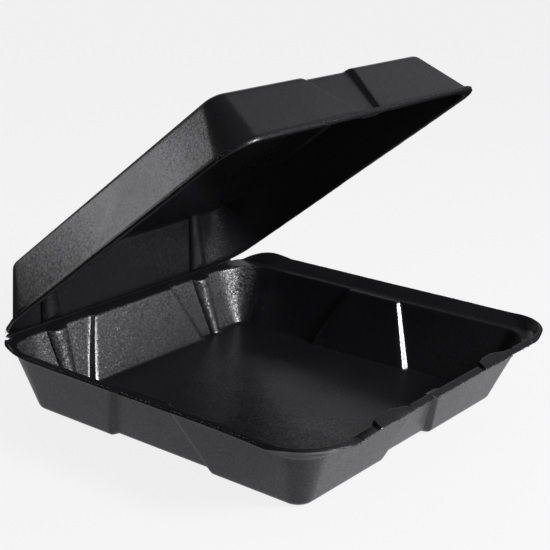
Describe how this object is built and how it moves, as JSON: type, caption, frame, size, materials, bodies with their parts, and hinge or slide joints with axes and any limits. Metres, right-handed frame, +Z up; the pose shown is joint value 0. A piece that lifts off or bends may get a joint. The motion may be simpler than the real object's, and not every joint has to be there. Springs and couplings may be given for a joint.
{
  "type": "hinged foam clamshell container",
  "caption": "Black foam takeaway clamshell: a tray with tapered panelled walls and a flared rim, and a shallow lid on a crease hinge.",
  "frame": {"origin": "centre of the tray's underside, on the surface it stands on", "axes": "+X to the right seen from the front, -Y to the front with the lock tabs, +Z up; the hinge crease lies along X at +Y"},
  "size_m": [0.2368, 0.2424, 0.1958],
  "materials": {
    "black_foam": "satin foam skin with a fine pebble grain"
  },
  "bodies": {
    "base": {"base_tray": "black_foam"},
    "lid": {"lid": "black_foam"}
  },
  "joints": [
    {"name": "lid_hinge", "type": "hinge", "parent": "base", "child": "lid", "pos_m": [0, 0.11515, 0.03935], "axis": [-1, 0, 0], "range_deg": [-37, 143]}
  ]
}
